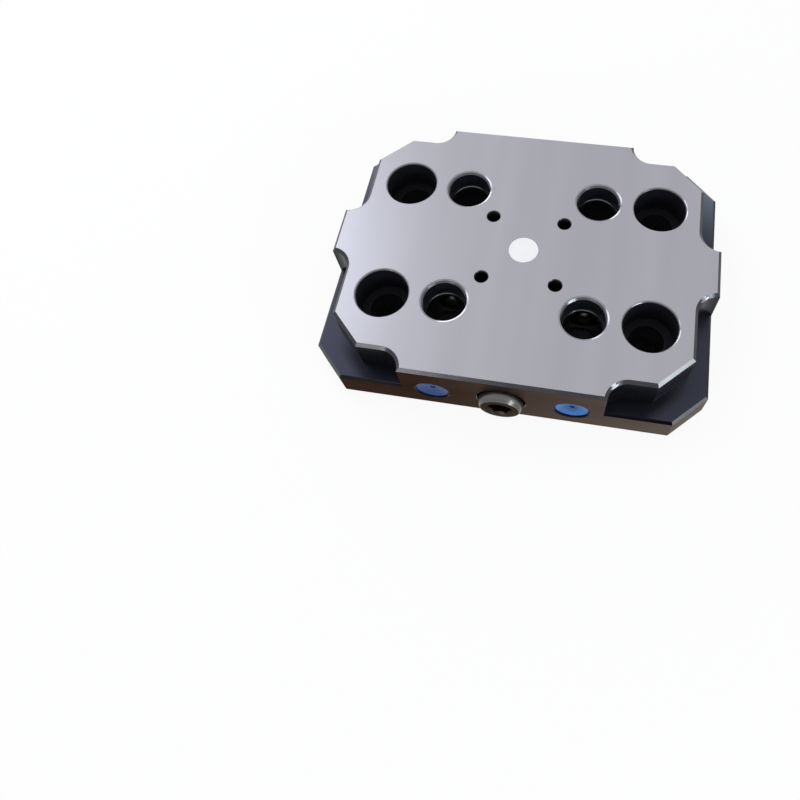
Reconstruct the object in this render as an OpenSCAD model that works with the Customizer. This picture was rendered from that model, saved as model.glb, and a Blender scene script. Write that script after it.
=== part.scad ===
// Zero point clamping plate with four stud bores.
// One screw in the front face drives a wedge, two push pins and four clamp pins inside the plate.
// Frame: X along the length, -Y is the face with the screw, Z up, origin in the middle of the underside.
// The parts are drawn open: screw backed out, clamp pins drawn back out of the stud bores.

/* [Plate] */
// Length along X
plate_length = 148; // [140:1:160]
// Width along Y
plate_width = 113; // [109:1:125]
// Height from underside to ground top
plate_height = 27; // [26:0.5:32]
// Leg of the 45 degree cut on each corner
corner_cut = 12; // [8:0.5:14]
// Bevel around the top outline
top_bevel = 1.2; // [0.3:0.1:1.8]
// Bevel around the underside
bottom_bevel = 0.5; // [0.2:0.1:1]

/* [Corner steps] */
// Height of the step floor above the underside
step_floor = 12.5; // [10:0.5:15]
// Width of the step along the sides, also the radius of its cutter
step_width = 7.5; // [5:0.5:9]
// Length of the full-height land on the front and rear faces
front_land = 75; // [66:1:80]
// Length of the full-height land on the two ends
side_land = 20; // [16:1:24]
// Bevel around the step floor's outer edge
step_bevel = 1; // [0.3:0.1:1.5]

/* [Stud bores] */
// Spacing of the stud bores, both ways
stud_pitch = 52; // [50:0.5:54]
// Diameter of the guiding bore
stud_bore = 16; // [15:0.5:18]
// Depth from the top to the ledge
stud_depth = 7.5; // [6:0.5:8]
// Chamfer on the rim
stud_chamfer = 0.65; // [0.3:0.05:1]
// Width of the shallow lead-in outside that chamfer
stud_lead_in = 0.6; // [0.2:0.05:1]
// Depth of the shallow lead-in
lead_in_depth = 0.25; // [0.1:0.05:0.4]
// Diameter below the ledge
stud_lower_bore = 14.3; // [13.4:0.1:14.8]
// Floor left under the bore
stud_floor = 3; // [2:0.5:4]

/* [Other top holes] */
// Spacing of the fixing bolts along X
bolt_pitch = 100; // [96:1:104]
// Counterbore for the bolt heads
bolt_head_bore = 20; // [18:0.5:22]
// Depth of that counterbore
bolt_head_depth = 13; // [11:0.5:15]
// Through hole for the bolts
bolt_hole = 13.5; // [11:0.5:14]
// Chamfer on the counterbore rim
bolt_chamfer = 0.3; // [0.2:0.1:1]
// Width of its lead-in
bolt_lead_in = 0.35; // [0.1:0.05:0.6]
// Spacing of the tapped holes, both ways
tapped_pitch = 28; // [26:0.5:30]
// Core diameter of the tapped holes
tapped_hole = 5; // [4:0.1:6]
// Depth of the tapped holes
tapped_depth = 14; // [8:0.5:18]
// Diameter of the middle locating bore
centre_bore = 11.5; // [10:0.5:14]
// Depth of the middle locating bore
centre_depth = 6.5; // [4:0.5:7]
// How far the white plug sits below the top
centre_recess = 0.1; // [0.05:0.05:0.5]

/* [Actuating screw] */
// Height of the screw and pin axes above the underside
axis_height = 11.7; // [11:0.1:12]
// Thickness of the seal's rubber
seal_wire = 1.8; // [1.2:0.1:2]
// Wall of the bush around the seal
bush_wall = 0.7; // [0.5:0.1:1.2]
// Feed for each turn
screw_lead = 1.75; // [1:0.25:2]
// Turns from open to clamped
screw_turns = 2; // [1:0.25:2.25]
// Diameter of the head
head_diameter = 16.8; // [15:0.2:17]
// Length of the head
head_length = 9; // [8:0.5:11]
// How far the head stands out when open
head_proud = 3.5; // [2:0.25:4.5]
// Width across the flats of the hexagon socket
socket_flats = 8; // [6:0.5:10]
// Depth of the hexagon socket
socket_depth = 6; // [4.5:0.5:7]
// Gap around the head in its recess
head_gap = 0.6; // [0.3:0.1:1]
// Ledge between that recess and the bush's bore
bush_ledge = 0.5; // [0.3:0.1:1]
// Length of the threaded bush
bush_length = 18.5; // [15:0.5:20]
// Neck between shank and button
neck_diameter = 5.5; // [4:0.5:6]
// Button that hooks into the drive wedge
button_diameter = 9; // [8:0.5:9.5]
// Thickness of the button
button_thickness = 3.2; // [2:0.2:3.6]
// Thickness of the stop ring
ring_thickness = 1.2; // [0.8:0.1:1.6]

/* [Wedges and pins] */
// Bore for wedge, push pins and clamp pins
pin_bore = 13; // [12.6:0.2:13.2]
// Half angle of the drive wedge
drive_angle = 45; // [40:1:46]
// Half angle of the push pin's outer end
push_angle = 30; // [26:1:32]
// Where the drive wedge would come to a point, beyond the middle
wedge_point = 1.5; // [1:0.25:2]
// Where the push pins would come to a point, from the middle
push_point = 27.5; // [26.5:0.25:28]
// Diameter of the clamp pin nose
nose_diameter = 8; // [7:0.25:8.5]
// Distance of the clamp pin shoulder from the middle
shoulder_place = 10; // [9.4:0.1:10.4]
// Length of the guide bush for the nose
guide_length = 2.3; // [1.6:0.1:2.6]
// Wire of the return springs
spring_wire = 0.9; // [0.6:0.1:1]
// Turns of the return springs
spring_turns = 2.5; // [2:0.25:2.75]
// Distance of the stop screws for the push pins from the middle
push_stop_place = 13; // [12:0.5:15]
// Distance of the stop screws for the clamp pins from the middle
clamp_stop_place = 7; // [6.6:0.1:7.2]
// Thread of the stop screws
stop_thread = 4; // [3.5:0.25:5]
// Diameter of the dog points
dog_diameter = 2.6; // [2:0.1:3]

/* [Plugs] */
// Length of the blue plugs
plug_length = 8; // [5:0.5:10]
// How far they sit below the face
plug_recess = 0.7; // [0.2:0.1:1]
// Depth of the dish in their face
plug_dish = 1; // [0.3:0.1:1.2]
// Flat rim around the dish
plug_rim = 0.6; // [0.3:0.1:1]
// Diameter of the dimple in the middle of the dish
plug_dimple = 2; // [1:0.1:3]
// Wall of their hollow back
plug_wall = 1.6; // [1.2:0.1:2]
// Chamfer on the mouths of the side bores
mouth_chamfer = 0.3; // [0.2:0.1:0.6]

/* [Clearances] */
// Radial gap of sliding and turning pieces
run_gap = 0.05; // [0.02:0.01:0.1]
// Radial gap of fixed pieces in their seats
seat_gap = 0.02; // [0.01:0.01:0.04]
// Gap between wedge faces
wedge_gap = 0.1; // [0.05:0.01:0.15]
// End play of the button, the ring and the dog points
end_play = 0.1; // [0.05:0.05:0.2]

/* [Hidden] */
$fn = 64;
eps = 0.5;
half_length = plate_length / 2;
half_width = plate_width / 2;
front = -half_width;
stud = stud_pitch / 2;
ledge_z = plate_height - stud_depth;
pin_radius = pin_bore / 2 - run_gap;
feed = screw_lead * screw_turns;
push_feed = feed * tan(drive_angle);
clamp_feed = push_feed * tan(push_angle);
head_recess = head_diameter + 2 * head_gap;
bush_diameter = head_recess - 2 * bush_ledge;
screw_thread = bush_diameter - 2 * (bush_wall + seal_wire);
head_front = front - head_proud;
head_back = head_front + head_length;
recess_end = head_back + feed + 1;
bush_end = recess_end + bush_length;
ring_front = bush_end + end_play;
ring_back = ring_front + ring_thickness;
ring_inside = screw_thread - 1.6;
ring_outside = bush_diameter - 2;
chamber_end = ring_back + feed + 0.5;
shank_end = chamber_end + 1.2;
wedge_back = shank_end + 1.5;
lip = 3.4;
button_front = wedge_back + lip + end_play;
button_back = button_front + button_thickness;
slot_end = button_back + end_play;
tip_flat = 0.5;
slide_end = wedge_point + feed + 0.5;
drive_tan = tan(drive_angle);
push_tan = tan(push_angle);
push_inner_gap = wedge_gap / cos(drive_angle);
clamp_inner_gap = wedge_gap / cos(push_angle);
nose_end = stud - stud_lower_bore / 2 - 0.5;
guide_end = stud - stud_lower_bore / 2 - 0.9;
guide_start = guide_end - guide_length;
spring_start = shoulder_place + end_play;
spring_end = guide_start - end_play;
spring_radius = (nose_diameter + pin_bore) / 4;
pin_floor = axis_height - pin_bore / 2;
dog_top = pin_floor + 2;
slot_height = 2.4;
slot_width = dog_diameter + 4 * run_gap;
dish_reach = pin_bore / 2 - seat_gap - plug_rim;
dish_radius = (dish_reach * dish_reach + plug_dish * plug_dish) / (2 * plug_dish);

// Node to draw, or all

// Round bar along Y on the axis height
module bar_y(diameter, from, to) {
    translate([0, from, axis_height])
        rotate([-90, 0, 0])
            cylinder(d = diameter, h = to - from);
}

// Round bar along X on the axis height
module bar_x(diameter, from, to) {
    translate([from, 0, axis_height])
        rotate([0, 90, 0])
            cylinder(d = diameter, h = to - from);
}

// Round bar along Z
module bar_z(diameter, from, to) {
    translate([0, 0, from])
        cylinder(d = diameter, h = to - from);
}

// The same shape in all four quarters
module four_ways(x, y) {
    for (side = [-1, 1])
        for (end = [-1, 1])
            translate([side * x, end * y, 0])
                children();
}

// One quarter's shape mirrored to the named quarter
module quarter(left, front_half) {
    mirror([left, 0, 0])
        mirror([0, front_half, 0])
            children();
}

// Rectangle with equal 45 degree corner cuts
module cut_rectangle(half_x, half_y, cut) {
    polygon([
        [half_x, half_y - cut], [half_x - cut, half_y], [cut - half_x, half_y], [-half_x, half_y - cut],
        [-half_x, cut - half_y], [cut - half_x, -half_y], [half_x - cut, -half_y], [half_x, cut - half_y]
    ]);
}

// Top outline: the inner form, a land on each side, and the cutter's arcs at the ends of the lands
module top_outline() {
    cut_rectangle(half_length - step_width, half_width - step_width, corner_cut);
    difference() {
        square([front_land + 2 * step_width, plate_width], center = true);
        four_ways(front_land / 2 + step_width, half_width)
            circle(r = step_width);
    }
    difference() {
        square([plate_length, side_land + 2 * step_width], center = true);
        four_ways(half_length, side_land / 2 + step_width)
            circle(r = step_width);
    }
}

// Prism that bevels an edge at z = 0: the edge runs along X, its wall faces +Y, the piece lies below
module edge_prism(wall, from, to, bevel) {
    translate([from, wall, 0])
        rotate([90, 0, 90])
            linear_extrude(to - from)
                polygon([[-bevel - eps, eps], [eps, -bevel - eps], [eps, eps]]);
}

// Cone that bevels an arc of the step
module arc_edge(x, y) {
    translate([x, y, plate_height - top_bevel])
        cylinder(r1 = step_width, r2 = step_width + top_bevel + eps, h = top_bevel + eps);
}

// Bevels of one quarter's top outline
module quarter_bevels() {
    inner_x = half_length - step_width;
    inner_y = half_width - step_width;
    arc_edge(front_land / 2 + step_width, half_width);
    arc_edge(half_length, side_land / 2 + step_width);
    translate([0, 0, plate_height]) {
        edge_prism(half_width, -1, front_land / 2 + eps, top_bevel);
        edge_prism(inner_y, front_land / 2 + step_width, inner_x, top_bevel);
        translate([inner_x - corner_cut / 2, inner_y - corner_cut / 2, 0])
            rotate([0, 0, -45])
                edge_prism(0, -corner_cut, corner_cut, top_bevel);
        mirror([1, -1, 0]) {
            edge_prism(inner_x, side_land / 2 + step_width, inner_y, top_bevel);
            edge_prism(half_length, -1, side_land / 2 + eps, top_bevel);
        }
    }
}

// Bevels of one quarter's outer outline, for an edge at z = 0
module quarter_outer_bevels(bevel) {
    edge_prism(half_width, -1, half_length, bevel);
    translate([half_length - corner_cut / 2, half_width - corner_cut / 2, 0])
        rotate([0, 0, -45])
            edge_prism(0, -corner_cut, corner_cut, bevel);
    mirror([1, -1, 0])
        edge_prism(half_length, -1, half_width, bevel);
}

// A shape drawn for one quarter, in all four
module all_quarters() {
    for (left = [0, 1])
        for (front_half = [0, 1])
            quarter(left, front_half)
                children();
}

// Lower part of the plate, bevelled along the step floor
module stepped_base() {
    difference() {
        linear_extrude(step_floor)
            cut_rectangle(half_length, half_width, corner_cut);
        translate([0, 0, step_floor])
            all_quarters()
                quarter_outer_bevels(step_bevel);
    }
}

// Bore with a chamfered mouth, from the given floor up through the top
module top_bore(diameter, floor_z, chamfer) {
    bar_z(diameter, floor_z, plate_height + eps);
    translate([0, 0, plate_height - chamfer])
        cylinder(d1 = diameter, d2 = diameter + 2 * (chamfer + eps), h = chamfer + eps);
}

// The same with a shallow lead-in outside the chamfer
module lead_in_bore(diameter, floor_z, chamfer, lead_in) {
    mouth = diameter + 2 * chamfer;
    slope = lead_in / lead_in_depth;
    bar_z(diameter, floor_z, plate_height + eps);
    translate([0, 0, plate_height - lead_in_depth - chamfer])
        cylinder(d1 = diameter, d2 = mouth, h = chamfer);
    translate([0, 0, plate_height - lead_in_depth])
        cylinder(d1 = mouth, d2 = mouth + 2 * slope * (lead_in_depth + eps), h = lead_in_depth + eps);
}

// Stud bore: guiding bore down to a ledge, narrower below it
module stud_hole() {
    lead_in_bore(stud_bore, ledge_z, stud_chamfer, stud_lead_in);
    bar_z(stud_lower_bore, stud_floor, plate_height);
    translate([0, 0, ledge_z - 0.3])
        cylinder(d1 = stud_lower_bore, d2 = stud_lower_bore + 0.8, h = 0.4);
}

// Fixing hole: counterbore for the bolt head and a through hole
module bolt_bore() {
    lead_in_bore(bolt_head_bore, plate_height - bolt_head_depth, bolt_chamfer, bolt_lead_in);
    bar_z(bolt_hole, -eps, plate_height);
}

// Tapped hole for one stop screw, from the underside into a pin bore
module stop_hole() {
    bar_z(stop_thread, -eps, axis_height);
}

// Places of the six stop screws
module stop_places() {
    for (side = [-1, 1])
        translate([side * push_stop_place, 0, 0])
            children();
    four_ways(stud, clamp_stop_place)
        children();
}

// Bores along Y and X that hold the mechanism
module mechanism_bores() {
    bar_y(head_recess, front - eps, recess_end);
    translate([0, front - eps, axis_height])
        rotate([-90, 0, 0])
            cylinder(d1 = head_recess + 2 * (mouth_chamfer + eps), d2 = head_recess, h = mouth_chamfer + eps);
    bar_y(bush_diameter, recess_end - eps, chamber_end);
    bar_y(pin_bore, chamber_end - eps, slide_end);
    bar_x(pin_bore, -half_length - eps, half_length + eps);
    for (side = [-1, 1]) {
        translate([side * stud, 0, 0])
            bar_y(pin_bore, front - eps, stud);
        translate([side * stud, front - eps, axis_height])
            rotate([-90, 0, 0])
                cylinder(d1 = pin_bore + 2 * (mouth_chamfer + eps), d2 = pin_bore, h = mouth_chamfer + eps);
        translate([side * (half_length + eps), 0, axis_height])
            rotate([0, -90 * side, 0])
                cylinder(d1 = pin_bore + 2 * (mouth_chamfer + eps), d2 = pin_bore, h = mouth_chamfer + eps);
    }
}

// Plate of hardened steel, in one piece
module body_plate() {
    color([0.25, 0.25, 0.28])
        difference() {
            union() {
                stepped_base();
                linear_extrude(plate_height)
                    top_outline();
            }
            all_quarters() {
                quarter_bevels();
                mirror([0, 0, 1])
                    quarter_outer_bevels(bottom_bevel);
            }
            four_ways(stud, stud)
                stud_hole();
            four_ways(bolt_pitch / 2, stud)
                bolt_bore();
            four_ways(tapped_pitch / 2, tapped_pitch / 2)
                top_bore(tapped_hole, plate_height - tapped_depth, 0.3);
            bar_z(centre_bore, plate_height - centre_depth, plate_height + eps);
            mechanism_bores();
            stop_places()
                stop_hole();
        }
}

// White plastic plug that keeps chips out of the middle bore
module centre_plug() {
    color([0.95, 0.95, 0.95])
        difference() {
            bar_z(centre_bore - 2 * seat_gap, plate_height - centre_depth + 0.2, plate_height - centre_recess);
            bar_z(centre_bore - 2 * plug_wall, plate_height - centre_depth, plate_height - centre_recess - 1.5);
        }
}

// Blue push-in plug: dished face at z = 0 looking to -Z, hollow back
module bore_plug() {
    color([0.2, 0.35, 0.65])
        difference() {
            translate([0, 0, plug_recess])
                cylinder(d = pin_bore - 2 * seat_gap, h = plug_length);
            translate([0, 0, plug_recess + plug_dish - dish_radius])
                sphere(r = dish_radius);
            translate([0, 0, plug_recess])
                cylinder(d = plug_dimple, h = plug_dish + 0.4);
            translate([0, 0, plug_recess + plug_dish + 1.8])
                cylinder(d = pin_bore - 2 * plug_wall, h = plug_length);
        }
}

// Plug in a front bore
module front_plug(side) {
    translate([side * stud, front, axis_height])
        rotate([-90, 0, 0])
            bore_plug();
}

// Plug in an end bore
module side_plug(side) {
    translate([side * half_length, 0, axis_height])
        rotate([0, -90 * side, 0])
            bore_plug();
}

module front_plug_left() {
    front_plug(-1);
}

module front_plug_right() {
    front_plug(1);
}

module side_plug_left() {
    side_plug(-1);
}

module side_plug_right() {
    side_plug(1);
}

// Screw with hexagon socket, threaded shank, ring groove, neck and button
module actuating_screw() {
    color([0.75, 0.75, 0.75])
        difference() {
            union() {
                bar_y(head_diameter - 1, head_front, head_back);
                translate([0, head_front, axis_height])
                    rotate([-90, 0, 0])
                        cylinder(d1 = head_diameter - 1, d2 = head_diameter, h = 0.5);
                bar_y(head_diameter, head_front + 0.5, head_back);
                bar_y(screw_thread, head_back - eps, ring_front - end_play / 2);
                bar_y(ring_inside - 2 * seat_gap, head_back, shank_end);
                bar_y(screw_thread, ring_back + end_play / 2, shank_end);
                bar_y(neck_diameter, shank_end - eps, button_back);
                bar_y(button_diameter, button_front, button_back);
            }
            translate([0, head_front - eps, axis_height])
                rotate([-90, 0, 0])
                    cylinder(d = socket_flats / cos(30), h = socket_depth + eps, $fn = 6);
        }
}

// Open ring behind the bush, keeps the screw from being wound out
module stop_ring() {
    color([0.35, 0.35, 0.37])
        difference() {
            bar_y(ring_outside, ring_front, ring_back);
            bar_y(ring_inside, ring_front - eps, ring_back + eps);
            translate([-1.5, ring_front - eps, axis_height])
                cube([3, ring_thickness + 2 * eps, ring_outside]);
        }
}

// Bronze bush with the thread, with a recess for the seal in its front
module screw_bush() {
    color([0.7, 0.55, 0.3])
        difference() {
            bar_y(bush_diameter - 2 * seat_gap, recess_end, bush_end);
            bar_y(screw_thread + 2 * run_gap, recess_end - eps, bush_end + eps);
            bar_y(screw_thread + 2 * seal_wire, recess_end - eps, recess_end + seal_wire + 0.2);
        }
}

// Rubber ring around the shank
module screw_seal() {
    color([0.08, 0.08, 0.08])
        translate([0, recess_end + seal_wire / 2 + 0.1, axis_height])
            rotate([-90, 0, 0])
                rotate_extrude()
                    translate([screw_thread / 2 + seal_wire / 2, 0])
                        circle(d = seal_wire - 2 * run_gap, $fn = 24);
}

// Round slide with a roof-shaped nose and a slot for the screw's button
module drive_wedge() {
    nose_y = wedge_point - tip_flat / drive_tan;
    flank_y = wedge_point - pin_radius / drive_tan;
    color([0.5, 0.5, 0.52])
        difference() {
            intersection() {
                bar_y(2 * pin_radius, wedge_back, wedge_point);
                linear_extrude(plate_height)
                    polygon([
                        [-pin_radius - 1, wedge_back - 1], [pin_radius + 1, wedge_back - 1],
                        [pin_radius + 1, flank_y - 1 / drive_tan], [tip_flat, nose_y],
                        [-tip_flat, nose_y], [-pin_radius - 1, flank_y - 1 / drive_tan]
                    ]);
            }
            bar_y(neck_diameter + 0.4, wedge_back - eps, slot_end);
            translate([-neck_diameter / 2 - 0.2, wedge_back - eps, axis_height])
                cube([neck_diameter + 0.4, slot_end - wedge_back + eps, pin_bore]);
            bar_y(button_diameter + 0.4, button_front - end_play, slot_end);
            translate([-button_diameter / 2 - 0.2, button_front - end_play, axis_height])
                cube([button_diameter + 0.4, slot_end - button_front + end_play, pin_bore]);
        }
}

// Round pin: inner end cut to the drive wedge, outer end a roof, slot underneath for its stop screw
module push_pin() {
    inner = push_inner_gap + wedge_point * drive_tan;
    reach = pin_radius + 1;
    turn_y = (inner - tip_flat) / drive_tan;
    slot_from = push_stop_place - dog_diameter / 2 - push_feed - end_play;
    slot_to = push_stop_place + dog_diameter / 2 + end_play;
    color([0.55, 0.55, 0.57])
        difference() {
            intersection() {
                bar_x(2 * pin_radius, 0, push_point);
                linear_extrude(plate_height)
                    polygon([
                        [inner + reach * drive_tan, -reach], [tip_flat, turn_y], [tip_flat, reach],
                        [push_point - reach / push_tan, reach], [push_point - tip_flat / push_tan, tip_flat],
                        [push_point - tip_flat / push_tan, -tip_flat], [push_point - reach / push_tan, -reach]
                    ]);
            }
            translate([slot_from, -slot_width / 2, pin_floor - 1])
                cube([slot_to - slot_from, slot_width, slot_height + 1]);
        }
}

module push_pin_left() {
    mirror([1, 0, 0])
        push_pin();
}

module push_pin_right() {
    push_pin();
}

// Clamp pin of the rear right bore: inner end cut to the push pin, shoulder for the spring, nose for the stud
module clamp_pin() {
    reach = pin_radius + 1;
    inner = clamp_inner_gap + (push_point - stud) * push_tan;
    turn_x = (inner - tip_flat) / push_tan;
    slot_from = clamp_stop_place - dog_diameter / 2 - clamp_feed - end_play;
    slot_to = clamp_stop_place + dog_diameter / 2 + end_play;
    color([0.6, 0.6, 0.62])
        translate([stud, 0, 0])
            difference() {
                union() {
                    intersection() {
                        bar_y(2 * pin_radius, 0, shoulder_place);
                        linear_extrude(plate_height)
                            polygon([
                                [-reach, inner + reach * push_tan], [turn_x, tip_flat], [reach, tip_flat],
                                [reach, shoulder_place + 1], [-reach, shoulder_place + 1]
                            ]);
                    }
                    bar_y(nose_diameter, shoulder_place - eps, nose_end - 1.5);
                    translate([0, nose_end - 1.5, axis_height])
                        rotate([-90, 0, 0])
                            cylinder(d1 = nose_diameter, d2 = nose_diameter - 3, h = 1.5);
                }
                translate([-slot_width / 2, slot_from, pin_floor - 1])
                    cube([slot_width, slot_to - slot_from, slot_height + 1]);
            }
}

module clamp_pin_front_left() {
    quarter(1, 1)
        clamp_pin();
}

module clamp_pin_front_right() {
    quarter(0, 1)
        clamp_pin();
}

module clamp_pin_rear_left() {
    quarter(1, 0)
        clamp_pin();
}

module clamp_pin_rear_right() {
    clamp_pin();
}

// Bush of the rear right bore: guides the nose and takes the spring
module guide_bush() {
    color([0.7, 0.55, 0.3])
        translate([stud, 0, 0])
            difference() {
                bar_y(pin_bore - 2 * seat_gap, guide_start, guide_end);
                bar_y(nose_diameter + 2 * run_gap, guide_start - eps, guide_end + eps);
            }
}

module guide_bush_front_left() {
    quarter(1, 1)
        guide_bush();
}

module guide_bush_front_right() {
    quarter(0, 1)
        guide_bush();
}

module guide_bush_rear_left() {
    quarter(1, 0)
        guide_bush();
}

module guide_bush_rear_right() {
    guide_bush();
}

// Coil spring of the rear right bore, between shoulder and guide bush
module return_spring() {
    sides = 6;
    steps = ceil(spring_turns * 14);
    rise = spring_end - spring_start - spring_wire;
    points = [
        for (i = [0 : steps])
            for (j = [0 : sides - 1])
                let (a = 360 * spring_turns * i / steps, b = 360 * j / sides)
                    let (r = spring_radius + spring_wire / 2 * cos(b))
                        [r * cos(a), r * sin(a), rise * i / steps + spring_wire / 2 * (1 + sin(b))]
    ];
    walls = [
        for (i = [0 : steps - 1])
            for (j = [0 : sides - 1])
                let (k = (j + 1) % sides)
                    [i * sides + j, i * sides + k, (i + 1) * sides + k, (i + 1) * sides + j]
    ];
    first = [for (j = [sides - 1 : -1 : 0]) j];
    last = [for (j = [0 : sides - 1]) steps * sides + j];
    color([0.7, 0.7, 0.7])
        translate([stud, spring_start, axis_height])
            rotate([-90, 0, 0])
                polyhedron(points, concat([first, last], walls), convexity = 6);
}

module return_spring_front_left() {
    quarter(1, 1)
        return_spring();
}

module return_spring_front_right() {
    quarter(0, 1)
        return_spring();
}

module return_spring_rear_left() {
    quarter(1, 0)
        return_spring();
}

module return_spring_rear_right() {
    return_spring();
}

// Six grub screws with dog points, from the underside into the slots of the pins
module stop_screws() {
    color([0.2, 0.2, 0.2])
        stop_places()
            difference() {
                union() {
                    bar_z(stop_thread - 2 * seat_gap, 0.4, pin_floor - 0.3);
                    bar_z(dog_diameter, 0.4, dog_top);
                }
                translate([0, 0, -eps])
                    cylinder(d = stop_thread / 2 / cos(30), h = 2.5 + eps, $fn = 6);
            }
}

body_plate();
centre_plug();
front_plug_left();
front_plug_right();
side_plug_left();
side_plug_right();
actuating_screw();
stop_ring();
screw_bush();
screw_seal();
drive_wedge();
push_pin_left();
push_pin_right();
clamp_pin_front_left();
clamp_pin_front_right();
clamp_pin_rear_left();
clamp_pin_rear_right();
guide_bush_front_left();
guide_bush_front_right();
guide_bush_rear_left();
guide_bush_rear_right();
return_spring_front_left();
return_spring_front_right();
return_spring_rear_left();
return_spring_rear_right();
stop_screws();
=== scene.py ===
import math

import bmesh
import bpy
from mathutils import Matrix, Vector


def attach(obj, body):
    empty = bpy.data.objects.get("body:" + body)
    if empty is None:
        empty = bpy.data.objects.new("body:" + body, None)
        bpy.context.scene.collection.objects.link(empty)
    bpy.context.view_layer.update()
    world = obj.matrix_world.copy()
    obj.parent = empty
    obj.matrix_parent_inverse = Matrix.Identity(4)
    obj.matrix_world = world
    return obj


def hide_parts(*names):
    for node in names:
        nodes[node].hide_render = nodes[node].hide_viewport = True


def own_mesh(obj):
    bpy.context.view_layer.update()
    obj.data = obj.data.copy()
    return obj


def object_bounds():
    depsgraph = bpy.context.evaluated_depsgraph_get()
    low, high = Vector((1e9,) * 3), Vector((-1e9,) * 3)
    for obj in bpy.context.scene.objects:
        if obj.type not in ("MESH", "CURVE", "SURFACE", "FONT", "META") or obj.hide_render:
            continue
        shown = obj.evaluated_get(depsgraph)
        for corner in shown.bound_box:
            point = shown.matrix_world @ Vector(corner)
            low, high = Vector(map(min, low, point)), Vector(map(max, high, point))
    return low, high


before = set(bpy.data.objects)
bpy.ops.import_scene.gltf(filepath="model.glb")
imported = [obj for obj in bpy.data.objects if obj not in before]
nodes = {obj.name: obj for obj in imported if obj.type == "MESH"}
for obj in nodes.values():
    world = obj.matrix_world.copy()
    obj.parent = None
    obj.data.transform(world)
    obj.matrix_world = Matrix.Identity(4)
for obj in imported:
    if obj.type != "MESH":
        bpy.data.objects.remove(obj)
cad_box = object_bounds()
scene = bpy.context.scene
scene.view_settings.view_transform = "Standard"

# Steel plate
# One block of tool steel, milled with stepped corners, hardened and blackened.
# Its top is ground bright afterwards, and its upper edges are bevelled.
PLATE_HALF_LENGTH, PLATE_HALF_WIDTH, PLATE_TOP = cad_box[1]
CORNER_CUT = 0.012
STEP_FLOOR = 0.0125
LEDGE_Z = 0.0195
AXIS_Z = 0.0117
STUD = 0.026
BOLT = 0.050
TAPPED_PLACE = 0.014


def new_finish(name):
    """A material with its Principled shader, ready for links."""
    material = bpy.data.materials.new(name)
    material.use_nodes = True
    tree = material.node_tree
    return material, tree, tree.nodes["Principled BSDF"]


def new_group(name, inputs, outputs):
    """An empty shader node group with the named sockets."""
    group = bpy.data.node_groups.new(name, "ShaderNodeTree")
    for label, kind, value in inputs:
        socket = group.interface.new_socket(label, in_out="INPUT", socket_type=kind)
        socket.default_value = value
    for label in outputs:
        group.interface.new_socket(label, in_out="OUTPUT", socket_type="NodeSocketFloat")
    return group, group.nodes.new("NodeGroupInput"), group.nodes.new("NodeGroupOutput")


def place_group(tree, group, **values):
    """The group as a node in a material, with its own values."""
    node = tree.nodes.new("ShaderNodeGroup")
    node.node_tree = group
    for label, value in values.items():
        node.inputs[label.replace("_", " ")].default_value = value
    return node


def blend_colours(tree, factor, low, high):
    """A colour between low and high, by a factor socket."""
    mix = tree.nodes.new("ShaderNodeMix")
    mix.data_type = "RGBA"
    mix.inputs["A"].default_value = (*low, 1)
    mix.inputs["B"].default_value = (*high, 1)
    tree.links.new(factor, mix.inputs["Factor"])
    return mix.outputs["Result"]


def blend_finishes(tree, factor, first, second):
    """A colour between two colour sockets, by a factor socket."""
    mix = tree.nodes.new("ShaderNodeMix")
    mix.data_type = "RGBA"
    tree.links.new(factor, mix.inputs["Factor"])
    tree.links.new(first, mix.inputs["A"])
    tree.links.new(second, mix.inputs["B"])
    return mix.outputs["Result"]


def blend_values(tree, factor, low, high):
    """A value between low and high, by a factor socket."""
    span = tree.nodes.new("ShaderNodeMapRange")
    span.inputs["To Min"].default_value = low
    span.inputs["To Max"].default_value = high
    tree.links.new(factor, span.inputs["Value"])
    return span.outputs["Result"]


def add_bump(tree, shader, height, strength, distance):
    """A Bump node between a height socket and the shader's normal."""
    bump = tree.nodes.new("ShaderNodeBump")
    bump.inputs["Strength"].default_value = strength
    bump.inputs["Distance"].default_value = distance
    tree.links.new(height, bump.inputs["Height"])
    tree.links.new(bump.outputs["Normal"], shader.inputs["Normal"])


# Grinding leaves fine parallel lines, and broad faint bands where the wheel passed.
grinding, ends_in, ends_out = new_group(
    "grinding_lines",
    [
        ("Line Scale", "NodeSocketVector", (2600, 14, 2600)),
        ("Band Scale", "NodeSocketVector", (70, 4, 70)),
    ],
    ["Lines", "Bands"],
)
place = grinding.nodes.new("ShaderNodeTexCoord")
for label, scale, detail in (("Lines", "Line Scale", 4), ("Bands", "Band Scale", 1)):
    stretch = grinding.nodes.new("ShaderNodeVectorMath")
    stretch.operation = "MULTIPLY"
    grinding.links.new(place.outputs["Object"], stretch.inputs[0])
    grinding.links.new(ends_in.outputs[scale], stretch.inputs[1])
    noise = grinding.nodes.new("ShaderNodeTexNoise")
    noise.inputs["Scale"].default_value = 1
    noise.inputs["Detail"].default_value = detail
    grinding.links.new(stretch.outputs["Vector"], noise.inputs["Vector"])
    grinding.links.new(noise.outputs["Fac"], ends_out.inputs[label])

# Handling and oil leave soft cloudy patches on every finish.
patches, ends_in, ends_out = new_group(
    "cloudy_patches",
    [("Patch Scale", "NodeSocketFloat", 60.0), ("Grain Scale", "NodeSocketFloat", 1500.0)],
    ["Patches", "Grain"],
)
place = patches.nodes.new("ShaderNodeTexCoord")
for label, scale, detail in (("Patches", "Patch Scale", 5), ("Grain", "Grain Scale", 3)):
    noise = patches.nodes.new("ShaderNodeTexNoise")
    noise.inputs["Detail"].default_value = detail
    patches.links.new(place.outputs["Object"], noise.inputs["Vector"])
    patches.links.new(ends_in.outputs[scale], noise.inputs["Scale"])
    patches.links.new(noise.outputs["Fac"], ends_out.inputs[label])

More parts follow.
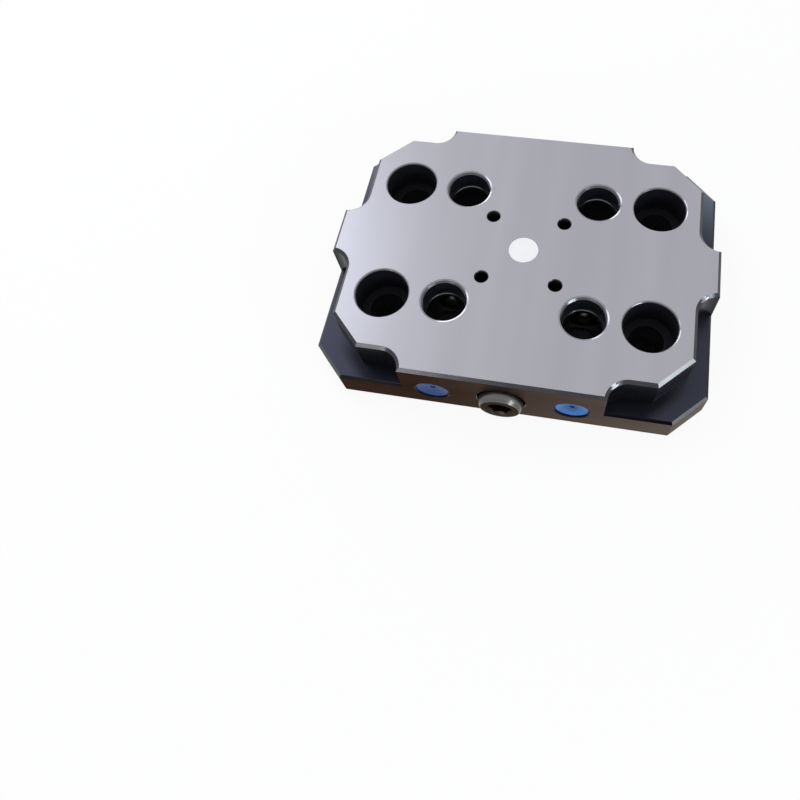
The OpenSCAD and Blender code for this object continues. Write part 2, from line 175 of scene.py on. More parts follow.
# A finish that changes from one end of the plate to the other fades along a direction.
fading, ends_in, ends_out = new_group(
    "fade_along",
    [
        ("Direction", "NodeSocketVector", (1, 0, 0)),
        ("Start", "NodeSocketFloat", 0.0),
        ("End", "NodeSocketFloat", 1.0),
    ],
    ["Fade"],
)
place = fading.nodes.new("ShaderNodeTexCoord")
reach = fading.nodes.new("ShaderNodeVectorMath")
reach.operation = "DOT_PRODUCT"
fading.links.new(place.outputs["Object"], reach.inputs[0])
fading.links.new(ends_in.outputs["Direction"], reach.inputs[1])
span = fading.nodes.new("ShaderNodeMapRange")
fading.links.new(reach.outputs["Value"], span.inputs["Value"])
fading.links.new(ends_in.outputs["Start"], span.inputs["From Min"])
fading.links.new(ends_in.outputs["End"], span.inputs["From Max"])
fading.links.new(span.outputs["Result"], ends_out.inputs["Fade"])


def lined_finish(name, low, high, polish, **scales):
    """A finish with grinding bands in its colour and fine lines in its polish."""
    material, tree, shader = new_finish(name)
    marks = place_group(tree, grinding, **scales)
    tree.links.new(blend_colours(tree, marks.outputs["Bands"], low, high), shader.inputs["Base Color"])
    tree.links.new(blend_values(tree, marks.outputs["Lines"], *polish), shader.inputs["Roughness"])
    return material, tree, shader, marks.outputs["Lines"]


def cloudy_finish(name, low, high, polish, patch_scale):
    """A finish with soft patches in its colour and fine grain in its polish."""
    material, tree, shader = new_finish(name)
    cloud = place_group(tree, patches, Patch_Scale=patch_scale)
    tree.links.new(blend_colours(tree, cloud.outputs["Patches"], low, high), shader.inputs["Base Color"])
    tree.links.new(blend_values(tree, cloud.outputs["Grain"], *polish), shader.inputs["Roughness"])
    return material, tree, shader, cloud.outputs["Grain"]


def dress(node, *finishes):
    """Put the finishes on a CAD node in place of its plain one, before its faces choose."""
    node.data.materials.clear()
    for finish in finishes:
        node.data.materials.append(finish)


ground_steel, tree, shader, lines = lined_finish(
    "ground_steel", low=(0.335, 0.332, 0.370), high=(0.410, 0.406, 0.450), polish=(0.30, 0.36)
)
shader.inputs["Metallic"].default_value = 1
shader.inputs["Specular Tint"].default_value = (0.5, 0.5, 0.51, 1)
add_bump(tree, shader, lines, strength=0.015, distance=0.00002)

# The rims of the bores are honed bright, and the lower edges stay black but for worn corners.
edge_finishes = []
for name, low, high, polish in (
    ("bevelled_edge_steel", (0.036, 0.036, 0.043), (0.066, 0.066, 0.074), (0.16, 0.28)),
    # The honed rim steel is also put on the top edges that look to the front right, as a painted highlight.
    ("honed_rim_and_highlight_steel", (0.20, 0.20, 0.22), (0.32, 0.32, 0.34), (0.14, 0.24)),
    ("bore_chamfer_steel", (0.070, 0.071, 0.080), (0.120, 0.121, 0.132), (0.14, 0.24)),
    ("blackened_step_edge", (0.003, 0.003, 0.004), (0.007, 0.007, 0.009), (0.24, 0.4)),
    ("worn_corner_edge", (0.075, 0.080, 0.083), (0.115, 0.122, 0.126), (0.2, 0.34)),
):
    edge_steel, _, shader, _ = cloudy_finish(name, low, high, polish, patch_scale=220)
    shader.inputs["Metallic"].default_value = 1
    edge_finishes.append(edge_steel)

# The sides are brown at one end of the plate and fade to a paler grey at the other.
side_steel, tree, shader = new_finish("dark_side_steel")
shader.inputs["Metallic"].default_value = 1
shader.inputs["Specular Tint"].default_value = (0.5, 0.45, 0.43, 1)
marks = place_group(tree, grinding, Line_Scale=(60, 60, 2400), Band_Scale=(14, 14, 90))
bands = marks.outputs["Bands"]
lines = marks.outputs["Lines"]
brown = blend_colours(tree, bands, (0.019, 0.011, 0.008), (0.047, 0.033, 0.028))
grey = blend_colours(tree, bands, (0.096, 0.080, 0.068), (0.168, 0.146, 0.130))
along = place_group(tree, fading, Direction=(1, 0, 0), Start=-0.03, End=0.07)
tint = blend_finishes(tree, along.outputs["Fade"], brown, grey)
tree.links.new(tint, shader.inputs["Base Color"])
tree.links.new(blend_values(tree, lines, 0.3, 0.5), shader.inputs["Roughness"])
add_bump(tree, shader, lines, strength=0.1, distance=0.00002)


def eased_mask(tree, value, start, end, most=1):
    """A mask that eases from 0 at start to most at end."""
    span = tree.nodes.new("ShaderNodeMapRange")
    span.interpolation_type = "SMOOTHSTEP"
    span.inputs["From Min"].default_value = start
    span.inputs["From Max"].default_value = end
    span.inputs["To Max"].default_value = most
    tree.links.new(value, span.inputs["Value"])
    return span.outputs["Result"]


def mirrored_place(tree):
    """The place on the object, folded so that all four quarters read alike."""
    place = tree.nodes.new("ShaderNodeTexCoord")
    fold = tree.nodes.new("ShaderNodeVectorMath")
    fold.operation = "ABSOLUTE"
    tree.links.new(place.outputs["Object"], fold.inputs[0])
    return fold.outputs["Vector"]


# The steps at the rear are painted paler and bluer, a painted sheen for the glossy black reflecting the
# light there.
BLACK = (0.0030, 0.0031, 0.0046)
WORN_BLACK = (0.0064, 0.0066, 0.0092)
OXIDE_PATCHES = 45
black_oxide, tree, shader = new_finish("black_oxide")
shader.inputs["Specular IOR Level"].default_value = 0.68
shader.inputs["Specular Tint"].default_value = (0.62, 0.65, 0.94, 1)
cloud = place_group(tree, patches, Patch_Scale=OXIDE_PATCHES)
black = blend_colours(tree, cloud.outputs["Patches"], BLACK, WORN_BLACK)
rear_sheen = blend_colours(tree, cloud.outputs["Patches"], (0.085, 0.105, 0.135), (0.140, 0.165, 0.205))
rear_sheen_fade = place_group(tree, fading, Direction=(0, 1, 0), Start=0.022, End=0.048)
tint = blend_finishes(tree, rear_sheen_fade.outputs["Fade"], black, rear_sheen)
tree.links.new(tint, shader.inputs["Base Color"])
tree.links.new(blend_values(tree, cloud.outputs["Patches"], 0.34, 0.46), shader.inputs["Roughness"])
add_bump(tree, shader, cloud.outputs["Grain"], strength=0.05, distance=0.00002)
# In the pockets beside the long faces the black is made dull and darker, a painted shade for the shadow and
# dark reflection of the walls there.
POCKET_SLANT = 0.875
folded = mirrored_place(tree)
slant = tree.nodes.new("ShaderNodeVectorMath")
slant.operation = "DOT_PRODUCT"
slant.inputs[1].default_value = (1, POCKET_SLANT, 0)
tree.links.new(folded, slant.inputs[0])
split = tree.nodes.new("ShaderNodeSeparateXYZ")
tree.links.new(folded, split.inputs["Vector"])
pocket_shade = tree.nodes.new("ShaderNodeMath")
pocket_shade.operation = "MULTIPLY"
inward = eased_mask(tree, slant.outputs["Value"], start=0.1060, end=0.0985, most=0.72)
beside = eased_mask(tree, split.outputs["Y"], start=0.040, end=0.0485)
tree.links.new(inward, pocket_shade.inputs[0])
tree.links.new(beside, pocket_shade.inputs[1])
tree.links.new(pocket_shade.outputs["Value"], shader.inputs["Metallic"])

oxide_wall, tree, shader = new_finish("black_oxide_wall")
shader.inputs["Specular IOR Level"].default_value = 0.12
shader.inputs["Specular Tint"].default_value = (0.62, 0.66, 0.88, 1)
cloud = place_group(tree, patches, Patch_Scale=OXIDE_PATCHES)
black = blend_colours(tree, cloud.outputs["Patches"], BLACK, WORN_BLACK)
tree.links.new(black, shader.inputs["Base Color"])
tree.links.new(blend_values(tree, cloud.outputs["Patches"], 0.22, 0.34), shader.inputs["Roughness"])
add_bump(tree, shader, cloud.outputs["Grain"], strength=0.05, distance=0.00002)

# The bores are painted paler towards their depths, a painted light where the deep steel lies in shade.
dark_bore, tree, shader = new_finish("dark_bore_painted_fill")
shader.inputs["Specular IOR Level"].default_value = 0.1
cloud = place_group(tree, patches, Patch_Scale=120)
upper_black = blend_colours(tree, cloud.outputs["Patches"], (0.0080, 0.0080, 0.0110), (0.0140, 0.0140, 0.0190))
painted_deep_light = blend_colours(tree, cloud.outputs["Patches"], (0.040, 0.039, 0.047), (0.064, 0.062, 0.074))
deep_light_fade = place_group(tree, fading, Direction=(0, 0, 1), Start=0.0155, End=0.0060)
tint = blend_finishes(tree, deep_light_fade.outputs["Fade"], upper_black, painted_deep_light)
tree.links.new(tint, shader.inputs["Base Color"])
tree.links.new(blend_values(tree, cloud.outputs["Grain"], 0.3, 0.45), shader.inputs["Roughness"])
add_bump(tree, shader, cloud.outputs["Grain"], strength=0.05, distance=0.00002)

honed_bore, tree, shader, lines = lined_finish(
    "honed_bore_steel",
    low=(0.013, 0.015, 0.021),
    high=(0.026, 0.030, 0.041),
    polish=(0.24, 0.4),
    Line_Scale=(70, 70, 2600),
    Band_Scale=(60, 60, 240),
)
shader.inputs["Metallic"].default_value = 0.5
add_bump(tree, shader, lines, strength=0.2, distance=0.00003)

# The tapped holes show the ridges of their thread, one millimetre apart.
# A wave texture whose scale is the unit below has one ridge in each metre.
RIDGES_PER_METRE = 1000
WAVE_UNIT = math.pi / 10
tapped_steel, tree, shader = new_finish("tapped_hole_steel")
shader.inputs["Metallic"].default_value = 1
ridges = tree.nodes.new("ShaderNodeTexWave")
ridges.wave_type = "BANDS"
ridges.bands_direction = "Z"
ridges.inputs["Scale"].default_value = RIDGES_PER_METRE * WAVE_UNIT
ridges.inputs["Distortion"].default_value = 0
place = tree.nodes.new("ShaderNodeTexCoord")
tree.links.new(place.outputs["Object"], ridges.inputs["Vector"])
tint = blend_colours(tree, ridges.outputs["Fac"], (0.010, 0.010, 0.012), (0.045, 0.045, 0.050))
tree.links.new(tint, shader.inputs["Base Color"])
tree.links.new(blend_values(tree, ridges.outputs["Fac"], 0.5, 0.3), shader.inputs["Roughness"])
add_bump(tree, shader, ridges.outputs["Fac"], strength=0.8, distance=0.0003)

plate = nodes["body_plate"]
dress(
    plate,
    ground_steel,
    *edge_finishes,
    side_steel,
    black_oxide,
    oxide_wall,
    dark_bore,
    honed_bore,
    tapped_steel,
)
GROUND, BEVEL, RIM, CHAMFER, STEP_EDGE, WORN, SIDE, OXIDE, WALL, BORE, HONED, TAPPED = range(12)
# How far each kind of face reaches from the middle of its hole, or below the edge it belongs to.
NEAR = 0.0001
STUD_REACH = 0.0081
BOLT_REACH = 0.0101
RIM_REACH = 0.0013
TAPPED_REACH = 0.0026
MOUTH_REACH = 0.0094
MOUTH_DEPTH = 0.0008
LEAD_IN_DEPTH = 0.0006
BEVEL_DEPTH = 0.0014
STEP_EDGE_DROP = 0.0005
STEP_EDGE_REACH = 0.0003
LEDGE_EDGE = 0.0005
BASE_EDGE = 0.0006
STEP_MARGIN = 0.009
# How much a face looks one way: fully, gently sloped, turned to a corner, or just sloped.
FULLY = 0.99
NEARLY = 0.95
GENTLY = 0.76
CORNERWISE = 0.4
SLIGHTLY = 0.3


def plate_finish(centre, normal):
    """Which finish a face of the plate has, from where it lies and which way it looks."""
    x, y, z = abs(centre.x), abs(centre.y), centre.z
    sloped = SLIGHTLY < normal.z < NEARLY
    from_stud = math.hypot(x - STUD, y - STUD)
    from_bolt = math.hypot(x - BOLT, y - STUD)
    end_wall = x > PLATE_HALF_LENGTH - NEAR and abs(normal.x) > FULLY
    long_wall = y > PLATE_HALF_WIDTH - NEAR and abs(normal.y) > FULLY
    corner_line = PLATE_HALF_LENGTH + PLATE_HALF_WIDTH - CORNER_CUT
    corner_wall = x + y > corner_line - 2 * NEAR and z < STEP_FLOOR - NEAR
    if abs(normal.z) > FULLY and (z > PLATE_TOP - NEAR or z < NEAR):
        return GROUND
    if sloped and normal.z > GENTLY and z > PLATE_TOP - LEAD_IN_DEPTH:
        return RIM
    if sloped and z > PLATE_TOP - BEVEL_DEPTH:
        if from_stud < STUD_REACH + RIM_REACH or from_bolt < BOLT_REACH + RIM_REACH:
            return CHAMFER
        # The top edges that look to the front right, towards the lamps there, get the paler rim steel: a
        # painted highlight.
        lamp_side_highlight = normal.x > CORNERWISE and normal.y < -CORNERWISE and max(x, y) > STUD
        return RIM if lamp_side_highlight else BEVEL
    if end_wall or long_wall:
        return SIDE
    if centre.y < MOUTH_DEPTH - PLATE_HALF_WIDTH and math.hypot(x, z - AXIS_Z) < MOUTH_REACH:
        return BEVEL
    if sloped and abs(z - STEP_FLOOR + STEP_EDGE_DROP) < STEP_EDGE_REACH:
        at_corner = min(abs(normal.x), abs(normal.y)) > SLIGHTLY
        return WORN if at_corner else STEP_EDGE
    if corner_wall or (normal.z < -SLIGHTLY and z < BASE_EDGE):
        return SIDE
    if math.hypot(x - TAPPED_PLACE, y - TAPPED_PLACE) < TAPPED_REACH and z > STEP_FLOOR:
        return TAPPED
    if from_stud < STUD_REACH and z > LEDGE_Z - LEDGE_EDGE:
        return CHAMFER if sloped else HONED
    within_steps = x < PLATE_HALF_LENGTH - STEP_MARGIN and y < PLATE_HALF_WIDTH - STEP_MARGIN
    if from_stud < STUD_REACH or from_bolt < BOLT_REACH:
        return BORE
    if within_steps and abs(z - STEP_FLOOR) > NEAR:
        return BORE
    return OXIDE if normal.z > FULLY else WALL


for face in plate.data.polygons:
    face.material_index = plate_finish(face.center, face.normal)

# Chip plugs
# Moulded plastic plugs pressed into the drilled holes to keep chips and coolant out.
# The middle one is white and flush, those in the sides are blue with a dished face.
PLUG_RECESS = 0.0007
white_plastic, tree, shader, grain = cloudy_finish(
    "white_moulded_plastic",
    low=(0.86, 0.86, 0.86),
    high=(0.92, 0.92, 0.92),
    polish=(0.35, 0.5),
    patch_scale=300,
)
add_bump(tree, shader, grain, strength=0.05, distance=0.00002)
dress(nodes["centre_plug"], white_plastic)

# The blue plugs are darker towards one end of the plate.
blue_plastic, tree, shader = new_finish("blue_moulded_plastic")
shader.inputs["Specular IOR Level"].default_value = 0.2
cloud = place_group(tree, patches, Patch_Scale=260)
darker_end_blue = blend_colours(tree, cloud.outputs["Patches"], (0.007, 0.034, 0.125), (0.022, 0.062, 0.20))
paler_end_blue = blend_colours(tree, cloud.outputs["Patches"], (0.016, 0.115, 0.36), (0.055, 0.21, 0.56))
along = place_group(tree, fading, Direction=(1, 0, 0), Start=-STUD, End=STUD)
tint = blend_finishes(tree, along.outputs["Fade"], darker_end_blue, paler_end_blue)
# The middle of the dishes beside the screw is painted darker, a painted shade of the dished face.
from_middle = tree.nodes.new("ShaderNodeVectorMath")
from_middle.operation = "DISTANCE"
from_middle.inputs[1].default_value = (STUD, PLATE_HALF_WIDTH, AXIS_Z)
tree.links.new(mirrored_place(tree), from_middle.inputs[0])
dish_shade = tree.nodes.new("ShaderNodeMix")
dish_shade.data_type = "RGBA"
dish_shade.inputs["B"].default_value = (0.004, 0.045, 0.17, 1)
dish_shade_mask = eased_mask(tree, from_middle.outputs["Value"], start=0.0050, end=0.0018, most=0.9)
tree.links.new(dish_shade_mask, dish_shade.inputs["Factor"])
tree.links.new(tint, dish_shade.inputs["A"])
tree.links.new(dish_shade.outputs["Result"], shader.inputs["Base Color"])
tree.links.new(blend_values(tree, cloud.outputs["Grain"], 0.28, 0.45), shader.inputs["Roughness"])
add_bump(tree, shader, cloud.outputs["Grain"], strength=0.08, distance=0.00003)

# The flat lip round each dish is painted near black, a painted shadow of the gap round the plug.
blue_lip_shadow, _, shader, _ = cloudy_finish(
    "blue_lip_painted_shadow",
    low=(0.003, 0.014, 0.060),
    high=(0.006, 0.026, 0.095),
    polish=(0.4, 0.6),
    patch_scale=260,
)
shader.inputs["Specular IOR Level"].default_value = 0.2

DISH, SHADED_LIP = 0, 1
for wall in ("front", "side"):
    for hand in ("left", "right"):
        plug = nodes[f"{wall}_plug_{hand}"]
        dress(plug, blue_plastic, blue_lip_shadow)
        for face in plug.data.polygons:
            if wall == "front":
                depth, facing = PLATE_HALF_WIDTH + face.center.y, -face.normal.y
            else:
                depth, facing = PLATE_HALF_LENGTH - abs(face.center.x), abs(face.normal.x)
            flat_rim = facing > FULLY and depth < PLUG_RECESS + NEAR
            face.material_index = SHADED_LIP if flat_rim else DISH

# Actuating screw
# A hardened cap screw with a hexagon socket, turned with a key to clamp and release.
# Its head is crowned and ground bright around the side, and its face is left dark.
HEAD_FRONT = -0.060
HEAD_BACK = -0.051
HEAD_RADIUS = 0.0084
CROWN_LENGTH = 0.0034
CROWN_DROP = 0.0009
CROWN_STEPS = 8
SOCKET_FLOOR = -0.054
SOCKET_FLAT = 0.004
SOCKET_MOUTH = 0.0049
THREAD_RADIUS = 0.006
THREAD_DEPTH = 0.0007
THREAD_LEAD = 0.00175
THREAD_START = -0.0495
THREAD_END = -0.0284
THREAD_STEPS = 8
GROOVE_FRONT = -0.02795
GROOVE_BACK = -0.02665
GROOVE_RADIUS = 0.00518
SHANK_END = -0.0215
NECK_RADIUS = 0.00275
BUTTON_FRONT = -0.0165
BUTTON_BACK = -0.0133
BUTTON_RADIUS = 0.0045
EDGE = 0.0003
ROUND_STEPS = 96
SHARP_ANGLE = math.radians(32)

bright_steel, tree, shader, lines = lined_finish(
    "bright_screw_steel",
    low=(0.095, 0.092, 0.089),
    high=(0.17, 0.167, 0.164),
    polish=(0.2, 0.34),
    Line_Scale=(40, 5200, 40),
    Band_Scale=(20, 500, 20),
)
shader.inputs["Metallic"].default_value = 1
add_bump(tree, shader, lines, strength=0.15, distance=0.00003)

dark_face_steel, tree, shader, grain = cloudy_finish(
    "dark_screw_face",
    low=(0.014, 0.012, 0.010),
    high=(0.060, 0.054, 0.048),
    polish=(0.25, 0.5),
    patch_scale=500,
)
shader.inputs["Metallic"].default_value = 1
shader.inputs["Specular Tint"].default_value = (0.5, 0.46, 0.42, 1)
add_bump(tree, shader, grain, strength=0.15, distance=0.00004)


def hexagon(turn):
    """Distance from the axis to the wall of the hexagon socket."""
    return SOCKET_FLAT / math.cos(turn % (math.pi / 3) - math.pi / 6)


def thread(turn, y):
    """Radius of the threaded shank, with flanks that rise and fall along each lead."""
    phase = (y / THREAD_LEAD - turn / (2 * math.pi)) % 1
    return THREAD_RADIUS - THREAD_DEPTH * abs(2 * phase - 1)


def circle(radius, y):
    """A round ring of the screw."""
    return [(radius, y)] * ROUND_STEPS


# Each ring is a radius and a place along the axis; the band that ends in it has a finish.
turns = [2 * math.pi * i / ROUND_STEPS for i in range(ROUND_STEPS)]
BRIGHT, DARK = 0, 1
rings = [
    ([(hexagon(t), SOCKET_FLOOR) for t in turns], DARK),
    ([(hexagon(t), HEAD_FRONT + SOCKET_MOUTH - hexagon(t)) for t in turns], DARK),
    (circle(SOCKET_MOUTH, HEAD_FRONT), DARK),
    (circle(HEAD_RADIUS - CROWN_DROP - EDGE, HEAD_FRONT), DARK),
    (circle(HEAD_RADIUS - CROWN_DROP - EDGE / 3, HEAD_FRONT + EDGE / 3), BRIGHT),
]
for i in range(CROWN_STEPS + 1):
    share = 1 - i / CROWN_STEPS
    y = HEAD_FRONT + EDGE + (CROWN_LENGTH - EDGE) * (1 - share)
    rings.append((circle(HEAD_RADIUS - CROWN_DROP * share**2, y), BRIGHT))
for radius, y in (
    (HEAD_RADIUS, HEAD_BACK - EDGE),
    (HEAD_RADIUS - EDGE, HEAD_BACK),
    (THREAD_RADIUS - THREAD_DEPTH, HEAD_BACK),
):
    rings.append((circle(radius, y), BRIGHT))
count = round((THREAD_END - THREAD_START) / THREAD_LEAD * THREAD_STEPS)
for i in range(count + 1):
    y = THREAD_START + (THREAD_END - THREAD_START) * i / count
    rings.append(([(thread(t, y), y) for t in turns], BRIGHT))
for radius, y in (
    (GROOVE_RADIUS, GROOVE_FRONT),
    (GROOVE_RADIUS, GROOVE_BACK),
    (THREAD_RADIUS - EDGE, GROOVE_BACK),
    (THREAD_RADIUS, GROOVE_BACK + EDGE),
    (THREAD_RADIUS, SHANK_END - EDGE),
    (THREAD_RADIUS - EDGE, SHANK_END),
    (NECK_RADIUS, SHANK_END),
    (NECK_RADIUS, BUTTON_FRONT),
    (BUTTON_RADIUS - EDGE, BUTTON_FRONT),
    (BUTTON_RADIUS, BUTTON_FRONT + EDGE),
    (BUTTON_RADIUS, BUTTON_BACK - EDGE),
    (BUTTON_RADIUS - EDGE, BUTTON_BACK),
):
    rings.append((circle(radius, y), BRIGHT))
shape = bmesh.new()
bands = []
for ring, finish in rings:
    points = [
        shape.verts.new((radius * math.cos(t), y, AXIS_Z + radius * math.sin(t)))
        for (radius, y), t in zip(ring, turns)
    ]
    bands.append((points, finish))


def skin_ring(shape, first, second):
    """Faces between two rings of points, all the way round."""
    faces = []
    for i in range(len(first)):
        k = (i + 1) % len(first)
        faces.append(shape.faces.new((first[i], first[k], second[k], second[i])))
    return faces


def finished_piece(shape, name, *finishes):
    """A smooth object of the scene, made from a closed shape and its finishes."""
    bmesh.ops.recalc_face_normals(shape, faces=shape.faces)
    mesh = bpy.data.meshes.new(name)
    shape.to_mesh(mesh)
    shape.free()
    mesh.shade_smooth()
    for finish in finishes:
        mesh.materials.append(finish)
    piece = bpy.data.objects.new(name, mesh)
    scene.collection.objects.link(piece)
    return piece


shape.faces.new(bands[0][0]).material_index = DARK
shape.faces.new(bands[-1][0]).material_index = BRIGHT
for (first, _), (second, finish) in zip(bands, bands[1:]):
    for face in skin_ring(shape, first, second):
        face.material_index = finish
turned_screw = finished_piece(shape, "turned_screw", bright_steel, dark_face_steel)
turned_screw.data.set_sharp_from_angle(angle=SHARP_ANGLE)
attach(turned_screw, "screw")
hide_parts("actuating_screw")
# The solid that stands behind the turned piece in the simulation has the same steel.
dress(nodes["actuating_screw"], bright_steel)

# Screw bush, seal, stop ring and stop screws
# A turned bronze bush carries the screw's thread, with a rubber ring in its front.
# An open ring of spring steel behind it keeps the screw from being wound out, and
# grub screws in the underside run in slots of the pins and keep them from turning.
bronze, tree, shader, lines = lined_finish(
    "turned_bronze",
    low=(0.13, 0.085, 0.038),
    high=(0.21, 0.140, 0.068),
    polish=(0.25, 0.42),
    Line_Scale=(50, 4000, 50),
    Band_Scale=(40, 300, 40),
)
shader.inputs["Metallic"].default_value = 1
add_bump(tree, shader, lines, strength=0.1, distance=0.00002)

rubber, _, shader, _ = cloudy_finish(
    "black_rubber",
    low=(0.010, 0.010, 0.010),
    high=(0.022, 0.022, 0.022),
    polish=(0.5, 0.75),
    patch_scale=400,
)
shader.inputs["Specular IOR Level"].default_value = 0.3

dark_steel, _, shader, _ = cloudy_finish(
    "dark_fastener_steel",
    low=(0.018, 0.018, 0.020),
    high=(0.045, 0.045, 0.050),
    polish=(0.3, 0.5),
    patch_scale=500,
)
shader.inputs["Metallic"].default_value = 1

dress(nodes["screw_bush"], bronze)
dress(nodes["screw_seal"], rubber)
dress(nodes["stop_ring"], dark_steel)
dress(nodes["stop_screws"], dark_steel)

# Wedge, push pins, clamp pins and their guide bushes
# Hardened pins ground to slide in the cross bores; bronze bushes guide the noses.
# The screw draws the wedge, the wedge spreads the pins, and the pins lock the studs.
pin_steel, _, shader, _ = lined_finish(
    "ground_pin_steel",
    low=(0.26, 0.26, 0.27),
    high=(0.36, 0.36, 0.37),
    polish=(0.22, 0.4),
    Line_Scale=(900, 900, 900),
    Band_Scale=(120, 120, 120),
)
shader.inputs["Metallic"].default_value = 1

QUARTERS = [(end, side) for end in ("front", "rear") for side in ("left", "right")]
for name in ("drive_wedge", "push_pin_left", "push_pin_right"):
    dress(nodes[name], pin_steel)
for end, side in QUARTERS:
    dress(nodes[f"clamp_pin_{end}_{side}"], pin_steel)
    dress(nodes[f"guide_bush_{end}_{side}"], bronze)

# Return springs
# Short coils of drawn wire around the pin noses, between shoulder and guide bush.
# They push the clamp pins back out of the stud bores when the screw is released.
SPRING_START = 0.0101
SPRING_END = 0.01555
SPRING_RADIUS = 0.00525
WIRE_RADIUS = 0.00045
SPRING_TURNS = 2.5
TURN_STEPS = 36
WIRE_SIDES = 12

spring_steel, _, shader, _ = cloudy_finish(
    "drawn_spring_wire",
    low=(0.34, 0.34, 0.35),
    high=(0.48, 0.48, 0.49),
    polish=(0.22, 0.38),
    patch_scale=700,
)
shader.inputs["Metallic"].default_value = 1

length = SPRING_END - SPRING_START
steps = round(SPRING_TURNS * TURN_STEPS)
for end, side in QUARTERS:
    across = -STUD if side == "left" else STUD
    way = -1 if end == "front" else 1
    shape = bmesh.new()
    rings = []
    for i in range(steps + 1):
        turn = 2 * math.pi * SPRING_TURNS * i / steps
        along = SPRING_START + WIRE_RADIUS + (length - 2 * WIRE_RADIUS) * i / steps
        ring = []
        for j in range(WIRE_SIDES):
            around = 2 * math.pi * j / WIRE_SIDES
            radius = SPRING_RADIUS + WIRE_RADIUS * math.cos(around)
            x = across + radius * math.cos(turn)
            y = way * (along + WIRE_RADIUS * math.sin(around))
            z = AXIS_Z + radius * math.sin(turn)
            ring.append(shape.verts.new((x, y, z)))
        rings.append(ring)
    for first, second in zip(rings, rings[1:]):
        skin_ring(shape, first, second)
    shape.faces.new(rings[0])
    shape.faces.new(rings[-1])
    coil = finished_piece(shape, f"coil_{end}_{side}", spring_steel)
    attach(coil, "plate")
    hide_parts(f"return_spring_{end}_{side}")
    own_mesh(coil)

# Floor, light and camera
# A white table that runs out of view in a pale room, seen from above the screw's side.
# A cool softbox hangs over the left, and a window and three lamps stand low around it.
FLOOR_HALF = 3.0
FLOOR_Z = -0.0001
corners = [(-1, -1), (1, -1), (1, 1), (-1, 1)]
floor_mesh = bpy.data.meshes.new("floor")
floor_mesh.from_pydata([(FLOOR_HALF * x, FLOOR_HALF * y, FLOOR_Z) for x, y in corners], [], [(0, 1, 2, 3)])
floor = bpy.data.objects.new("floor", floor_mesh)
scene.collection.objects.link(floor)


def larger(tree, first, second):
    """The larger of two value sockets."""
    pick = tree.nodes.new("ShaderNodeMath")
    pick.operation = "MAXIMUM"
    tree.links.new(first, pick.inputs[0])
    tree.links.new(second, pick.inputs[1])
    return pick.outputs["Value"]


def seen_directly(tree):
    """1 for rays that show the backdrop: camera, mirror and glass rays."""
    path = tree.nodes.new("ShaderNodeLightPath")
    mirrored = larger(tree, path.outputs["Is Camera Ray"], path.outputs["Is Glossy Ray"])
    return larger(tree, mirrored, path.outputs["Is Transmission Ray"])


# The table under the plate is painted near black, a painted shadow, as seen down the bolt holes.
# Elsewhere it shows mostly its own white, and a tenth of it takes light and shadow.
GLOW_SHARE = (0.001, 0.9)
white_table, tree, shader = new_finish("white_table")
shader.inputs["Roughness"].default_value = 0.9
shader.inputs["Specular IOR Level"].default_value = 0
place = tree.nodes.new("ShaderNodeNewGeometry")
offset = tree.nodes.new("ShaderNodeVectorMath")
offset.operation = "ABSOLUTE"
tree.links.new(place.outputs["Position"], offset.inputs[0])
split = tree.nodes.new("ShaderNodeSeparateXYZ")
tree.links.new(offset.outputs["Vector"], split.inputs["Vector"])
clear_of_plate = []
for axis, reach in (("X", PLATE_HALF_LENGTH), ("Y", PLATE_HALF_WIDTH)):
    beyond = tree.nodes.new("ShaderNodeMath")
    beyond.operation = "GREATER_THAN"
    beyond.inputs[1].default_value = reach - CORNER_CUT
    tree.links.new(split.outputs[axis], beyond.inputs[0])
    clear_of_plate.append(beyond.outputs["Value"])
open_table = larger(tree, *clear_of_plate)
tint = blend_colours(tree, open_table, (0.01, 0.01, 0.01), (0.9, 0.9, 0.9))
tree.links.new(tint, shader.inputs["Base Color"])
seen = tree.nodes.new("ShaderNodeMath")
seen.operation = "MULTIPLY"
tree.links.new(seen_directly(tree), seen.inputs[0])
tree.links.new(open_table, seen.inputs[1])
glow = tree.nodes.new("ShaderNodeEmission")
join = tree.nodes.new("ShaderNodeMixShader")
tree.links.new(blend_values(tree, seen.outputs["Value"], *GLOW_SHARE), join.inputs["Fac"])
tree.links.new(shader.outputs["BSDF"], join.inputs[1])
tree.links.new(glow.outputs["Emission"], join.inputs[2])
tree.links.new(join.outputs["Shader"], tree.nodes["Material Output"].inputs["Surface"])
floor_mesh.materials.append(white_table)

ROOM_LEVEL = 0.68
world = bpy.data.worlds.new("pale_room")
scene.world = world
world.use_nodes = True
tree = world.node_tree
room = tree.nodes["Background"]
room.inputs["Color"].default_value = (0.97, 0.98, 1.0, 1)
room.inputs["Strength"].default_value = ROOM_LEVEL
backdrop = tree.nodes.new("ShaderNodeBackground")
backdrop.inputs["Color"].default_value = (1, 1, 1, 1)
join = tree.nodes.new("ShaderNodeMixShader")
tree.links.new(seen_directly(tree), join.inputs["Fac"])
tree.links.new(room.outputs["Background"], join.inputs[1])
tree.links.new(backdrop.outputs["Background"], join.inputs[2])
tree.links.new(join.outputs["Shader"], tree.nodes["World Output"].inputs["Surface"])


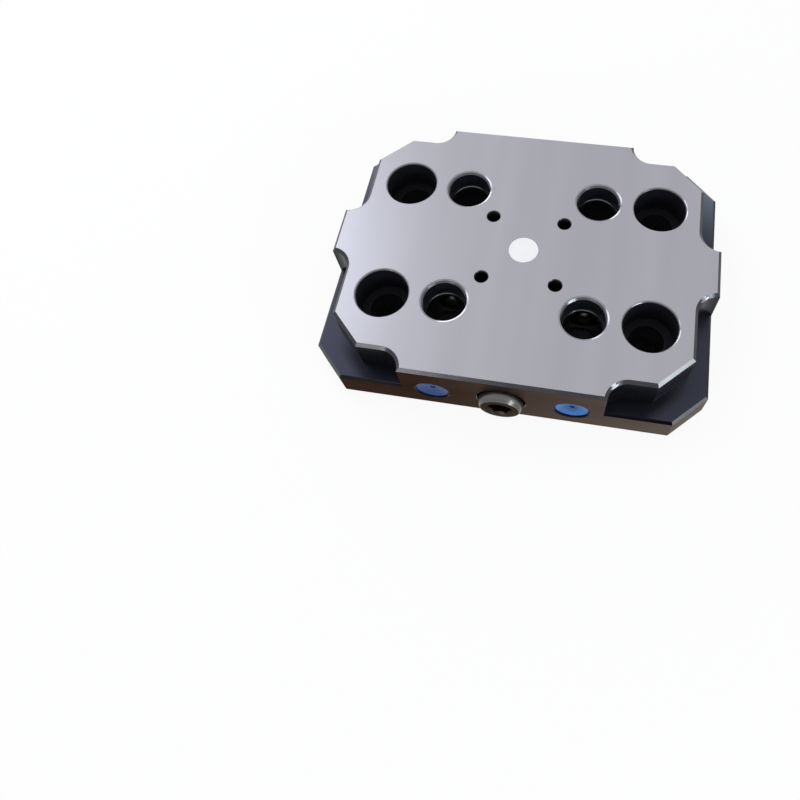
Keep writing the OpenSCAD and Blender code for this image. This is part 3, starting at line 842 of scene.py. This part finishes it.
def add_lamp(name, spot, aim, size, power, tint):
    """A soft rectangular lamp that looks at a point; size is its width and height."""
    lamp = bpy.data.lights.new(name, "AREA")
    lamp.shape = "RECTANGLE"
    lamp.size, lamp.size_y = size
    lamp.energy = power
    lamp.color = tint
    light = bpy.data.objects.new(name, lamp)
    light.location = spot
    light.rotation_euler = (Vector(aim) - Vector(spot)).to_track_quat("-Z", "Y").to_euler()
    scene.collection.objects.link(light)


COOL = (0.88, 0.91, 1.0)
DAYLIGHT = (0.97, 0.98, 1.0)
PALE_CYAN = (0.88, 0.97, 1.0)
WARM = (1.0, 0.98, 0.96)
top_middle = (0, 0, PLATE_TOP)
add_lamp("softbox_left", (-0.60, 0.31, 0.62), (-0.60, 0.31, 0), size=(0.58, 0.42), power=2.1, tint=COOL)
add_lamp("window_back_left", (-0.52, 0.77, 0.34), top_middle, size=(0.74, 0.28), power=2.4, tint=DAYLIGHT)
add_lamp("strip_front_right", (0.67, -0.48, 0.22), top_middle, size=(0.50, 0.16), power=0.4, tint=PALE_CYAN)
add_lamp("spot_high_right", (0.62, -0.42, 0.34), top_middle, size=(0.38, 0.10), power=1.4, tint=PALE_CYAN)
add_lamp("fill_front_left", (-0.42, -0.95, 0.37), top_middle, size=(0.40, 0.18), power=1.4, tint=WARM)

# The camera is set by its place, its tilt, roll and turn in degrees, and its focal length in pixels.
IMAGE = 800
SENSOR = 36
FOCAL_PIXELS = 705.039
CENTRE_PIXEL = (486, 329)
STAND = (0.02456, -0.14783, 0.25433)
TILT, ROLL, TURN = 27.0339, 3.2650, 9.9734
lens = bpy.data.cameras.new("camera")
lens.sensor_width = SENSOR
lens.lens = FOCAL_PIXELS / IMAGE * SENSOR
lens.shift_x = (IMAGE / 2 - CENTRE_PIXEL[0]) / IMAGE
lens.shift_y = (CENTRE_PIXEL[1] - IMAGE / 2) / IMAGE
lens.clip_start = 0.01
camera = bpy.data.objects.new("camera", lens)
camera.location = STAND
camera.rotation_euler = (math.radians(TILT), math.radians(ROLL), math.radians(TURN))
scene.collection.objects.link(camera)
scene.camera = camera
